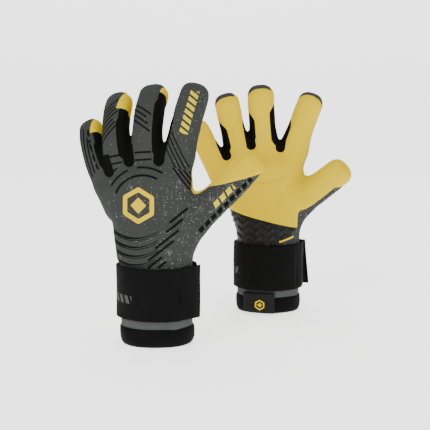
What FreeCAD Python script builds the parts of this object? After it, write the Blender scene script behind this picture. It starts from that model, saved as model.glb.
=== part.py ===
"""A pair of goalkeeper gloves, standing on their cuffs with the fingers up.

Millimetres, +Z up. The left glove shows its back to -Y and the right glove shows its palm to -Y.
Each glove is drawn once in its own hand frame (x towards the thumb, y towards the palm, z towards the
fingertips) and then placed; the right glove is the mirrored one. Each finger is a curved elliptical tube with
a round foot, which turns in a round seat in the hand.
"""
import FreeCAD, Part
import math
import os
from FreeCAD import Placement, Rotation, Vector

# ---- driving dimensions -------------------------------------------------------------------------
FOAM = 3.6              # latex or back panel with its foam and lining, one layer
GAP = 0.4               # clearance between parts that move past each other
FLEX_DEG = 54.0         # how far a finger bends at the knuckle
THUMB_FLEX_DEG = 45.0
SEAT_RIM = 1.6          # how far the hand stands proud round a finger's foot
SEAT_DEPTH = 30.0       # how far a finger's tube is carried down into the hand
GUSSET_HALF = 4.2       # half width of the strip between a finger's front and back
GUSSET_STOP = 17.0      # the strip ends this far short of the fingertip's cap
DOME_STEPS = (25.0, 50.0, 70.0)

WRIST_A, WRIST_B = 38.5, 27.0       # half width and half depth of the wrist sleeve
HEM_TOP = 20.0
HEM_SWELL = 1.2
SLEEVE_TOP = 86.0
SLEEVE_WALL = 3.0
STRAP_LOW, STRAP_HIGH = 30.0, 86.0
STRAP_THICK = 2.4
STRAP_STANDOFF = 2.2                # room for the hook and loop layers under the strap
STRAP_END_ANGLE = 50.0              # where the strap's free end leaves the wrist, from the thumb side
STRAP_END_LENGTH = 25.0
PATCH_THICK = 0.8
PULL_TAB_X = (-30.0, 6.0)
PULL_TAB_Z = (2.0, 27.0)
PULL_TAB_THICK = 2.6
LINING = 1.0
PRINT_THICK = 0.6
BADGE_SIZE = 38.0
BADGE_X, BADGE_Z = -17.0, 150.0
TAB_BADGE_SIZE = 13.0
BIG = 150.0

PLACE = {"left": Vector(-67.24, -70, 0), "right": Vector(60.76, 70, 0)}

# Each finger: knuckle point, lean sideways, lean to the palm, turn about its own length, total curl,
# length from the knuckle, half width, half depth.
FINGERS = {
    "left": {
        "little": ((-57, 19.5, 173), -23, 4, -17, 40, 69, 12.9, 11.6),
        "ring": ((-38, 11, 186), -11, 4, -22, 42, 83, 13.8, 12.4),
        "middle": ((-9, 3, 190), -3, 4, -18, 40, 87, 14.4, 12.8),
        "index": ((22, -5, 187), 13, 2, -14, 14, 86, 14.4, 12.8),
        "thumb": ((64, 0, 155), 45, 8, 10, 10, 62, 16.0, 14.2),
    },
    "right": {
        "little": ((-59, 6, 173), -30, 4, -6, 25, 67, 12.9, 11.6),
        "ring": ((-36, 3, 189), -15, 4, -4, 30, 80, 13.8, 12.4),
        "middle": ((-5, 0, 192), -6, 4, 0, 30, 85, 14.4, 12.8),
        "index": ((25.5, 0, 187), 18, 4, 3, 25, 83, 14.4, 12.8),
        "thumb": ((49, 6, 143), 46, 26, 10, 10, 61, 16.0, 14.2),
    },
}
# Half widths of each finger's neck, where it would press on its neighbours: little-finger side, thumb side.
NECKS = {
    "left": {"little": (20, 10.0), "ring": (10.5, 11.6), "middle": (12.2, 13.2), "index": (13.2, 20)},
    "right": {"little": (20, 11.4), "ring": (12.0, 12.8), "middle": (13.2, 12.4), "index": (12.4, 20)},
}
NECK_TOP = 34.0         # above this the finger has its full width again
STRAIGHT = 12.0         # the foot of every finger is straight this far, then it curls
GUSSET_SIDES = {"little": (1,), "ring": (-1, 1), "middle": (-1, 1), "index": (-1,)}

# The hand between wrist and knuckles: height, centre x and y, half width, half depth, turn about z.
HAND = {
    "left": ((86, 0, 0, 38.5, 27, 0), (105, 0, 0, 40, 25.5, -3), (128, -3, 1, 44, 23.5, -8),
             (150, -8, 3, 47.5, 21, -13), (172, -13, 5, 51, 18.6, -17), (190, -15, 6, 53, 17.6, -18)),
    "right": ((86, 0, 0, 38.5, 27, 0), (105, -1, 0, 40, 25.5, 0), (128, -5, 0, 44, 23, -1),
              (150, -11, 1, 48.5, 20.5, -3), (172, -16, 2, 53, 18.2, -5), (190, -17, 2, 55, 17.4, -6)),
}
THUMB_ROOT = 50.0       # how far the thumb's tube is carried back into the hand
LATEX_EDGE_Z = (125.0, 104.0)       # the palm latex's lower edge, little-finger side and thumb side

os.makedirs("parts", exist_ok=True)


# ---- helpers ------------------------------------------------------------------------------------
def ellipse_wire(a, b, z=0.0, centre=(0, 0), turn=0.0):
    wire = Part.Wire(Part.Ellipse(Vector(a, 0, 0), Vector(0, b, 0), Vector(0, 0, 0)).toShape())
    wire.rotate(Vector(0, 0, 0), Vector(0, 0, 1), turn)
    wire.translate(Vector(centre[0], centre[1], z))
    return wire


def ellipse_tube(a, b, low, high):
    return Part.Face(ellipse_wire(a, b, low)).extrude(Vector(0, 0, high - low))


def ring(a, b, wall, low, high):
    """An upright elliptical ring with its inner half axes a and b."""
    return ellipse_tube(a + wall, b + wall, low, high).cut(ellipse_tube(a, b, low - 1, high + 1))


def block(x0, x1, y0, y1, z0, z1):
    return Part.makeBox(x1 - x0, y1 - y0, z1 - z0, Vector(x0, y0, z0))


class Finger:
    """One finger in its own frame: x across, y towards the palm, z along, origin at the knuckle."""

    def __init__(self, side, name):
        base, lean, tilt, turn, curl, length, self.a, self.b = FINGERS[side][name]
        is_thumb = name == "thumb"
        self.neck = NECKS[side].get(name, (20, 20))
        self.flex = THUMB_FLEX_DEG if is_thumb else FLEX_DEG
        self.curl = curl
        self.bend_radius = (length - self.a - STRAIGHT) / math.radians(curl)
        self.root = THUMB_ROOT if is_thumb else SEAT_DEPTH
        spin = Rotation(Vector(0, 1, 0), lean).multiply(Rotation(Vector(1, 0, 0), -tilt))
        spin = spin.multiply(Rotation(Vector(0, 0, 1), turn))
        self.placement = Placement(Vector(*base), spin)

    def to_hand(self, shape):
        moved = shape.copy()
        moved.Placement = self.placement.multiply(moved.Placement)
        return moved

    def sweep(self, face, foot=0.0):
        """Carries a face in the z=0 plane from foot below the knuckle to the end of the curl."""
        low = face.copy()
        low.translate(Vector(0, 0, -foot))
        straight = low.extrude(Vector(0, 0, STRAIGHT + foot))
        top = face.copy()
        top.translate(Vector(0, 0, STRAIGHT))
        centre = Vector(0, self.bend_radius, STRAIGHT)
        return straight, top.revolve(centre, Vector(-1, 0, 0), self.curl)

    def at_tip(self, shape):
        """Moves a shape drawn on the z=0 plane to the end of the curl."""
        moved = shape.copy()
        moved.translate(Vector(0, 0, STRAIGHT))
        moved.rotate(Vector(0, self.bend_radius, STRAIGHT), Vector(-1, 0, 0), self.curl)
        return moved

    def body(self, inset, foot):
        """The whole finger, inset from its outer skin, with a rounded cap."""
        a, b, cap = self.a - inset, self.b - inset, self.a - inset
        straight, curved = self.sweep(Part.Face(ellipse_wire(a, b)), foot)
        wires = [ellipse_wire(a, b)]
        for step in DOME_STEPS:
            k, h = math.cos(math.radians(step)), math.sin(math.radians(step))
            wires.append(ellipse_wire(a * k, b * k, cap * h))
        dome = self.at_tip(Part.makeLoft(wires, True, False))
        return straight.fuse(curved).fuse(dome).removeSplitter()

    def region(self, x0, x1, y0, y1, length=None):
        """The part of space beside the finger's middle line between x0..x1 and y0..y1."""
        corners = [Vector(x0, y0, 0), Vector(x1, y0, 0), Vector(x1, y1, 0), Vector(x0, y1, 0)]
        face = Part.Face(Part.makePolygon(corners + corners[:1]))
        if length is not None:
            keep = self.curl
            self.curl = math.degrees((length - STRAIGHT) / self.bend_radius)
            straight, curved = self.sweep(face, self.root)
            self.curl = keep
            return straight.fuse(curved)
        straight, curved = self.sweep(face, self.root)
        end = self.at_tip(block(x0, x1, y0, y1, 0, 30))
        return straight.fuse(curved).fuse(end)

    def foot_cylinder(self, grow):
        r = self.b + grow
        return Part.makeCylinder(r, 2 * BIG, Vector(-BIG, 0, 0), Vector(1, 0, 0))

    def shell(self):
        upper = self.body(0, 0)
        foot = ellipse_tube(self.a, self.b, -self.b, 0).common(self.foot_cylinder(0))
        low, high = self.neck
        sides = [block(-30, -low, -BIG, BIG, -BIG, NECK_TOP), block(high, 30, -BIG, BIG, -BIG, NECK_TOP)]
        return upper.fuse(foot).removeSplitter().cut(self.body(FOAM, self.b + 1)).cut(sides)

    def swept(self):
        """Everything the finger passes through as it bends, with clearance, to clear the hand."""
        w, d = self.a + GAP, self.b + GAP
        drum = self.foot_cylinder(GAP).common(block(-w, w, -BIG, BIG, -BIG, BIG))
        rest = block(-w, w, -BIG, d, -1.5, 90)
        bent = block(-w, w, -d, d, 0, 90)
        bent.rotate(Vector(0, 0, 0), Vector(-1, 0, 0), self.flex)
        return [self.to_hand(s) for s in (drum, rest, bent)]

    def panels(self, sides):
        """Front latex, back panel and the gusset strips at the given sides."""
        shell = self.shell()
        gussets = None
        if sides:
            run = STRAIGHT + self.bend_radius * math.radians(self.curl) - GUSSET_STOP + self.a
            strips = [self.region(min(0, s * 30), max(0, s * 30), -GUSSET_HALF, GUSSET_HALF, run - self.a)
                      for s in sides]
            band = strips[0] if len(strips) == 1 else strips[0].fuse(strips[1])
            gussets = shell.common(band)
            shell = shell.cut(band)
        front = shell.common(self.region(-30, 30, 0, 30))
        back = shell.common(self.region(-30, 30, -30, 0))
        return front, back, gussets


def loft_hand(sections, grow):
    wires = [ellipse_wire(a + grow, b + grow, z, (cx, cy), turn) for z, cx, cy, a, b, turn in sections]
    return Part.makeLoft(wires, True, False)


def half_ring_wire(a, b, wall, sign):
    """Half of an elliptical ring's outline, on the palm's side (1) or the back's side (-1)."""
    arcs = []
    for inset in (0, wall):
        curve = Part.Ellipse(Vector(a - inset, 0, 0), Vector(0, b - inset, 0), Vector(0, 0, 0))
        arcs.append(Part.ArcOfEllipse(curve, 0, math.pi).toShape())
    near = Part.LineSegment(Vector(a, 0, 0), Vector(a - wall, 0, 0)).toShape()
    far = Part.LineSegment(Vector(-a, 0, 0), Vector(wall - a, 0, 0)).toShape()
    wire = Part.Wire(Part.__sortEdges__([arcs[0], far, arcs[1], near]))
    if sign < 0:
        wire.rotate(Vector(0, 0, 0), Vector(0, 0, 1), 180)
    return wire


def half_shell(sections, sign):
    """The palm's half or the back's half of the hand, one layer thick."""
    wires = []
    for z, cx, cy, a, b, turn in sections:
        wire = half_ring_wire(a, b, FOAM, sign)
        wire.rotate(Vector(0, 0, 0), Vector(0, 0, 1), turn)
        wire.translate(Vector(cx, cy, z))
        wires.append(wire)
    return Part.makeLoft(wires, True, False)


def largest(shape):
    return max(shape.Solids, key=lambda solid: solid.Volume)


def badge_prisms(size, x, z, y0, y1):
    """A hexagonal ring round a diamond, drawn as prisms along y."""

    def prism(sides, radius):
        points = [Vector(x + radius * math.sin(2 * math.pi * i / sides), y0,
                         z + radius * math.cos(2 * math.pi * i / sides)) for i in range(sides)]
        return Part.Face(Part.makePolygon(points + points[:1])).extrude(Vector(0, y1 - y0, 0))

    return [prism(6, size * 0.5).cut(prism(6, size * 0.36)), prism(4, size * 0.22)]


# ---- one glove ----------------------------------------------------------------------------------
def hand_shells(side, fingers):
    """Palm latex with the thumb's root tube, back panel and heel patch."""
    sections = HAND[side]
    thumb = fingers["thumb"]
    bore = thumb.to_hand(ellipse_tube(thumb.a - FOAM, thumb.b - FOAM, -thumb.root, 1))
    plug = thumb.to_hand(ellipse_tube(thumb.a + SEAT_RIM, thumb.b + SEAT_RIM, -thumb.root, 0))
    tools = [tool for f in fingers.values() for tool in f.swept()]
    root_tube = largest(plug.cut([bore, loft_hand(sections, -FOAM)]).cut(tools))
    front = largest(half_shell(sections, 1).cut([plug] + tools))
    back = largest(half_shell(sections, -1).cut([plug] + tools))
    slope = (LATEX_EDGE_Z[1] - LATEX_EDGE_Z[0]) / (2 * WRIST_A)
    edge = [Vector(-BIG, -BIG, LATEX_EDGE_Z[0] - slope * (BIG - WRIST_A)),
            Vector(BIG, -BIG, LATEX_EDGE_Z[1] + slope * (BIG - WRIST_A)),
            Vector(BIG, -BIG, 300), Vector(-BIG, -BIG, 300)]
    above = Part.Face(Part.makePolygon(edge + edge[:1])).extrude(Vector(0, 2 * BIG, 0))
    latex = largest(front.common(above))
    heel = largest(front.cut(above))
    return Part.makeCompound([latex, root_tube]), back, heel


def hand_lining(side, thumb):
    """The inner sock from the cuff to the middle of the palm."""
    sections = HAND[side]
    skin = loft_hand(sections, -FOAM - 0.05).cut(loft_hand(sections, -FOAM - 0.05 - LINING))
    skin = skin.common(block(-BIG, BIG, -BIG, BIG, 0, sections[3][0]))
    a, b = WRIST_A - FOAM - 0.05, WRIST_B - FOAM - 0.05
    sock = skin.fuse(ring(a - LINING, b - LINING, LINING, 2, SLEEVE_TOP)).removeSplitter()
    plug = thumb.to_hand(ellipse_tube(thumb.a + SEAT_RIM, thumb.b + SEAT_RIM, -thumb.root, 0))
    return largest(sock.cut([plug] + thumb.swept()))


def back_badge(side):
    """The rubber badge on the back of the hand."""
    sections = HAND[side]
    skin = loft_hand(sections, PRINT_THICK).cut(loft_hand(sections, 0.02))
    pieces = [skin.common(p) for p in badge_prisms(BADGE_SIZE, BADGE_X, BADGE_Z, -BIG, 0)]
    return Part.makeCompound([solid for piece in pieces for solid in piece.Solids])


def strap_parts():
    """The strap: sewn half on the palm side, swinging half on the back, free end and patches."""
    a, b = WRIST_A + STRAP_STANDOFF, WRIST_B + STRAP_STANDOFF
    whole = ring(a, b, STRAP_THICK, STRAP_LOW, STRAP_HIGH)
    anchor = whole.common(block(-BIG, BIG, GAP, BIG, 0, 200))
    t = math.radians(STRAP_END_ANGLE)
    leave = Vector(a * math.cos(t), -b * math.sin(t), 0)
    along = Vector(a * math.sin(t), b * math.cos(t), 0).normalize()
    out = Vector(along.y, -along.x, 0)
    spin = Rotation(Vector(1, 0, 0), along)
    plate = block(0, STRAP_END_LENGTH, -STRAP_THICK, 0, STRAP_LOW, STRAP_HIGH)
    hook = block(4, STRAP_END_LENGTH - 2, 0, PATCH_THICK, STRAP_LOW + 4, STRAP_HIGH - 4)
    for piece in (plate, hook):
        piece.Placement = Placement(leave, spin)
    cut = block(GAP - BIG, BIG, -BIG, BIG, 0, 200)
    cut.Placement = Placement(leave - along * GAP, spin)
    beyond = block(0, BIG, -BIG, 2 * BIG, 0, 200)
    beyond.Placement = Placement(leave - along * GAP, spin)
    flap = whole.common(block(-BIG, BIG, -BIG, 0, 0, 200)).cut(beyond)
    loop_field = ring(WRIST_A, WRIST_B, PATCH_THICK, STRAP_LOW + 4, STRAP_HIGH - 4)
    loop = loop_field.common(block(12, 34, -BIG, 0, 0, 200))
    hinges = {"strap_flap": Vector(-a - STRAP_THICK, 0, (STRAP_LOW + STRAP_HIGH) / 2),
              "strap_end": leave + out * STRAP_THICK + Vector(0, 0, (STRAP_LOW + STRAP_HIGH) / 2)}
    return {"strap_anchor": anchor, "strap_flap": flap, "strap_end": plate,
            "strap_hook_patch": hook, "strap_loop_patch": loop}, hinges


def pull_tab_parts():
    """The tab at the heel, and its badge."""
    a, b = WRIST_A + HEM_SWELL + GAP, WRIST_B + HEM_SWELL + GAP
    span = block(PULL_TAB_X[0], PULL_TAB_X[1], 0, BIG, PULL_TAB_Z[0], PULL_TAB_Z[1])
    tab = ring(a, b, PULL_TAB_THICK, 0, 60).common(span)
    skin = ring(a + PULL_TAB_THICK, b + PULL_TAB_THICK, PRINT_THICK, 0, 60)
    x = sum(PULL_TAB_X) / 2
    z = sum(PULL_TAB_Z) / 2 - 1
    pieces = [skin.common(p) for p in badge_prisms(TAB_BADGE_SIZE, x, z, 0, BIG)]
    badge = Part.makeCompound([solid for piece in pieces for solid in piece.Solids])
    hinge = Vector(x, b + PULL_TAB_THICK, PULL_TAB_Z[1])
    return {"pull_tab": tab, "pull_tab_badge": badge}, {"pull_tab": hinge}


def wrist_piping(side):
    """The short bright tape at the heel patch's lower corner, on the palm side."""
    sections = HAND[side]
    skin = loft_hand(sections, PRINT_THICK + 0.6).cut(loft_hand(sections, 0.02))
    tape = block(0, 18, 0, BIG, 0, 2.4)
    tape.rotate(Vector(0, 0, 0), Vector(0, 1, 0), -14)
    tape.translate(Vector(11, 0, 89))
    return skin.common(tape)


def build_glove(side):
    fingers = {name: Finger(side, name) for name in FINGERS[side]}
    made = {}
    made["palm_latex"], made["backhand_panel"], made["palm_heel_patch"] = hand_shells(side, fingers)
    made["hand_lining"] = hand_lining(side, fingers["thumb"])
    made["back_badge"] = back_badge(side)
    made["wrist_sleeve"] = ring(WRIST_A - SLEEVE_WALL, WRIST_B - SLEEVE_WALL, SLEEVE_WALL,
                                HEM_TOP, SLEEVE_TOP)
    made["cuff_hem"] = ring(WRIST_A - SLEEVE_WALL, WRIST_B - SLEEVE_WALL, SLEEVE_WALL + HEM_SWELL,
                            0, HEM_TOP)
    made["wrist_piping"] = wrist_piping(side)
    strap, _ = strap_parts()
    tab, _ = pull_tab_parts()
    made.update(strap)
    made.update(tab)
    for name, f in fingers.items():
        front, back, gussets = f.panels(GUSSET_SIDES.get(name, ()))
        made[name + "_latex"] = f.to_hand(front)
        made[name + "_back"] = f.to_hand(back)
        if gussets:
            made[name + "_gusset"] = f.to_hand(gussets)
    return made


def place(shape, side):
    if side == "right":
        shape = shape.mirror(Vector(0, 0, 0), Vector(0, 1, 0))
    shape = shape.copy()
    shape.translate(PLACE[side])
    return shape


def main():
    for side in ("left", "right"):
        for name, shape in build_glove(side).items():
            placed = place(shape, side)
            placed.exportStep(f"parts/{side}_{name}.step")
            print(side, name, "solids", len(placed.Solids), "volume", round(placed.Volume / 1000, 2),
                  "valid", placed.isValid())


main()
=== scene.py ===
"""The looks of the goalkeeper gloves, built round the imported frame.

Each glove's skin is one smooth surface round its palm and finger centre lines, drawn in the glove's own hand
frame in millimetres: x towards the thumb, y towards the palm, z towards the fingertips. It is cut along its
seams into panels, pressed in along them and given its thickness. Straps, cuff, badge and tab are swept bands.
"""
import bpy
import math
import numpy as np
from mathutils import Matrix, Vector


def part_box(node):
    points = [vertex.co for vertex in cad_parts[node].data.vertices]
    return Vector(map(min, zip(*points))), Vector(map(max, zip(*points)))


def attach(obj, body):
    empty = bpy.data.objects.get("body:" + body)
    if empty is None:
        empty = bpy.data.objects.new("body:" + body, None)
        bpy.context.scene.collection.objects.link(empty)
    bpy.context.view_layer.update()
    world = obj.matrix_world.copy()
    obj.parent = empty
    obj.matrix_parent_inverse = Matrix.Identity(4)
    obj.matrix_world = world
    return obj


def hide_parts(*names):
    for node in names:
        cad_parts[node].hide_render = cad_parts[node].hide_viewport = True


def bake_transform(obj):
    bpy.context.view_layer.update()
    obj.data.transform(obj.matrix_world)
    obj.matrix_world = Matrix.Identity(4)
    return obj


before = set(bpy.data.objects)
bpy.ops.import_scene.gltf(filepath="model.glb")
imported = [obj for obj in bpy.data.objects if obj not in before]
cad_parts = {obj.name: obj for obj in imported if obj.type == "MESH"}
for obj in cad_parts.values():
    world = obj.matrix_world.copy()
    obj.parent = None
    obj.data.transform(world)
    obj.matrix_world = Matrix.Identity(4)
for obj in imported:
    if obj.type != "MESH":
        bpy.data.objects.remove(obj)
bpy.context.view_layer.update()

# ---- the gloves' driving dimensions, as in the CAD, mm and degrees ----
STRAIGHT = 12.0
WRIST_A, WRIST_B = 38.5, 27.0
HEM_TOP, SLEEVE_TOP = 20.0, 86.0
STRAP_LOW, STRAP_HIGH, STRAP_THICK, STRAP_STANDOFF = 30.0, 86.0, 2.4, 2.2
STRAP_END_ANGLE, STRAP_END_LENGTH = 50.0, 25.0
PULL_TAB_X, PULL_TAB_Z, PULL_TAB_THICK = (-30.0, 6.0), (2.0, 27.0), 2.6
BADGE_SIZE, BADGE_X, BADGE_Z = 38.0, -17.0, 150.0
TAB_BADGE_SIZE = 13.0
# Knuckle, lean, tilt, spin, curl, length, and half width and half depth at the knuckle.
FINGERS = {
    "left": {
        "little": ((-57, 19.5, 173), -23, 4, -17, 40, 69, 12.9, 11.6),
        "ring": ((-38, 11, 186), -11, 4, -22, 42, 83, 13.8, 12.4),
        "middle": ((-9, 3, 190), -3, 4, -18, 40, 87, 14.4, 12.8),
        "index": ((22, -5, 187), 13, 2, -14, 14, 86, 14.4, 12.8),
        "thumb": ((64, 0, 155), 45, 8, 10, 10, 62, 16.0, 14.2),
    },
    "right": {
        "little": ((-59, 6, 173), -30, 4, -6, 25, 67, 12.9, 11.6),
        "ring": ((-36, 3, 189), -15, 4, -4, 30, 80, 13.8, 12.4),
        "middle": ((-5, 0, 192), -6, 4, 0, 30, 85, 14.4, 12.8),
        "index": ((25.5, 0, 187), 18, 4, 3, 25, 83, 14.4, 12.8),
        "thumb": ((49, 6, 143), 46, 26, 10, 10, 61, 16.0, 14.2),
    },
}
# Rings of the hand: height, middle across and towards the palm, half width, half depth, turn in degrees.
HAND = {
    "left": ((86, -0.7, 0, 39.2, 27, 0), (93, -1.6, 0, 41, 26.3, -1), (105, -1.8, 0, 41.8, 25.5, -3),
             (128, -3, 1, 44, 23.5, -8), (150, -8, 3, 47.5, 21, -13), (172, -13, 5, 51, 18.6, -17),
             (190, -15, 6, 53, 17.6, -18)),
    "right": ((86, 0, 0, 38.5, 27, 0), (105, -1, 0, 40, 25.5, 0), (128, -5, 0, 44, 23, -1),
              (150, -11, 1, 48.5, 20.5, -3), (172, -16, 2, 53, 18.2, -5), (190, -17, 2, 55, 17.4, -6)),
}
NAMES = ("little", "ring", "middle", "index", "thumb")
BODIES = ("hand",) + NAMES
KINDS = ("back", "latex", "gusset", "heel")
BACK, LATEX, GUSSET, HEEL = range(4)
# Skin fuller than the CAD's plain tubes: sideways shift, extra half width, extra at the foot, extra length.
FULLER = {
    "left": {"little": (1.6, 0.3, 1.2, 2.5), "ring": (0.6, 1.2, 1.6, 4.5), "middle": (1.2, 2.0, 2.4, 5.0),
             "index": (-1.2, 1.6, 2.2, 5.0), "thumb": (0.0, 0.0, 0.0, 1.0)},
    "right": {"little": (0.4, 0.8, 2.2, 3.0), "ring": (0.4, 1.2, 2.6, 3.0), "middle": (0.0, 1.8, 3.2, 3.5),
              "index": (-0.4, 1.4, 3.4, 3.0), "thumb": (0.0, 0.8, 0.0, 2.0)},
}
# The lowest point of the dark U at each gap between fingers, x and z.
GAP_FEET = {"left": ((-48, 177.8), (-27, 189), (3.5, 190.5)), "right": ((-50, 187), (-21.5, 199), (12, 196))}
GAP_HALF = 5.6
FAR_OUTSIDE = -30.0         # a panel field's value well away from its panel
# The dark strip on a finger's side: visible width on the back, on the palm, and its end below the tip.
STRIPS = {("little", 1): (7.0, 3.0, 24), ("ring", -1): (1.5, 7.0, 28), ("ring", 1): (8.0, 3.0, 29),
          ("middle", -1): (2.0, 6.5, 27), ("middle", 1): (6.5, 7.5, 18), ("index", -1): (5.0, 3.5, 33)}
# How far the latex comes over a fingertip's thumb side, and where that starts below the tip.
TIP_WRAPS = {"little": (8.5, 24), "ring": (9.0, 29), "middle": (4.6, 18)}
ROOT = {"thumb": 50.0}       # how far a finger's tube goes down inside the hand
FINGER_ROOT = 30.0
WALL = 2.4                  # thickness of a sewn panel
STEP = 1.6                  # spacing of the skin's grid
SKIN_LOW = 84.0             # the skin starts just inside the strap
CUT_AT = 1.0                # a finger's own pieces start this far above its knuckle
THUMB_CUT_AT = -4.0
BEND_LENGTH = 30.0          # length of the knuckle span given with each finger piece
PANEL_DEPTH = WALL + 0.6    # from the smooth skin to a panel's inner side
SNAP = 0.12                 # a vertex this near to a cut is taken as lying on it
SKIN_BOX = (-112, -42, SKIN_LOW - 3), (128, 66, 290)
STRAP_MIDDLE, STRAP_HALF = (STRAP_LOW + STRAP_HIGH) / 2, (STRAP_HIGH - STRAP_LOW) / 2
TAPE_LOW, TAPE_HIGH = STRAP_LOW + 4, STRAP_HIGH - 4
SEWN_LINE = 20.5            # run of the sewn line on the strap's free end
FLAP_BEND, END_BEND, TAB_BEND = 16, 9.0, 9
PIPING_FOOT, PIPING_RUN, PIPING_RISE = (11.5, 89.2), 17.5, 5.6


def smooth(low, high, x):
    t = np.clip((x - low) / (high - low), 0, 1)
    return t * t * (3 - 2 * t)


def union(a, b, k):
    h = np.clip(0.5 + 0.5 * (b - a) / k, 0, 1)
    return b * (1 - h) + a * h - k * h * (1 - h)


def turn(axis, degrees):
    c, s = math.cos(math.radians(degrees)), math.sin(math.radians(degrees))
    if axis == "x":
        return np.array([[1, 0, 0], [0, c, -s], [0, s, c]])
    if axis == "y":
        return np.array([[c, 0, s], [0, 1, 0], [-s, 0, c]])
    return np.array([[c, -s, 0], [s, c, 0], [0, 0, 1]])


class Finger:
    """One finger's centre line: straight for a little, then an arc towards the palm."""

    def __init__(self, side, name):
        base, lean, tilt, spin, curl, length, self.a, self.b = FINGERS[side][name]
        self.name = name
        self.base = np.array(base, float)
        self.axes = turn("y", lean) @ turn("x", -tilt) @ turn("z", spin)
        self.shift, wider, self.foot, longer = FULLER[side][name]
        self.radius = (length - self.a - STRAIGHT) / math.radians(curl)
        self.curl = math.radians(curl) + longer / self.radius
        self.a += wider
        self.end = STRAIGHT + self.radius * self.curl
        self.top = self.end + self.a
        self.root = ROOT.get(name, FINGER_ROOT)

    def coords(self, points):
        """Across, towards the palm, and along the finger, in mm."""
        x, y, z = ((points - self.base) @ self.axes).T
        dy, dz = y - self.radius, z - STRAIGHT
        angle = np.arctan2(dz, -dy)
        c, s = math.cos(self.curl), math.sin(self.curl)
        ey, ez = y - self.radius * (1 - c), dz - self.radius * s
        beyond = angle > self.curl
        along = np.where(dz <= 0, z, np.where(beyond, self.end + ey * s + ez * c, STRAIGHT + self.radius * angle))
        palm = np.where(dz <= 0, y, np.where(beyond, ey * c - ez * s, self.radius - np.hypot(dy, dz)))
        return x, palm, along

    def distance(self, points):
        x, v, s = self.coords(points)
        x = x - self.shift
        a = self.a * (1 + 0.02 * np.sin(np.clip(s / self.end, 0, 1) * math.pi * 1.25))
        a = a + self.foot * (1 - smooth(8, 40, s)) * smooth(-20, 0, s)
        b = self.b * (1 + 0.03 * np.sin(np.clip(s / self.end, 0, 1) * math.pi))
        over = np.maximum(s - self.end, 0) / (self.a * 0.98)
        under = np.maximum(-self.root - s, 0) / self.a
        k = (np.abs(x / a) ** 2.5 + np.abs(v / b) ** 2.3 + over ** 2.4 + under ** 2.4) ** (1 / 2.4)
        return (k - 1) * b

    def point(self, x, v, s):
        """The hand-frame point with these finger coordinates, for s up to the straight part."""
        return self.base + self.axes @ np.array([x, v, s])


def section(side, z):
    rows = np.array(HAND[side], float)
    return [np.interp(z, rows[:, 0], rows[:, i]) for i in range(1, 6)]


def hand_local(side, points):
    """Across and towards the palm inside the hand's turned section, with its half width and depth."""
    cx, cy, a, b, spin = section(side, points[:, 2])
    angle = np.radians(spin)
    dx, dy = points[:, 0] - cx, points[:, 1] - cy
    return dx * np.cos(angle) + dy * np.sin(angle), dy * np.cos(angle) - dx * np.sin(angle), a, b


def hand_distance(side, points):
    x, y, a, b = hand_local(side, points)
    top = np.interp(points[:, 0], (-60, -30, 10, 45), (158, 172, 176, 166))
    over = np.maximum(points[:, 2] - top, 0) / 16
    k = (np.abs(x / a) ** 2.3 + np.abs(y / b) ** 2.3 + over ** 2.3) ** (1 / 2.3)
    return (k - 1) * b


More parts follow.
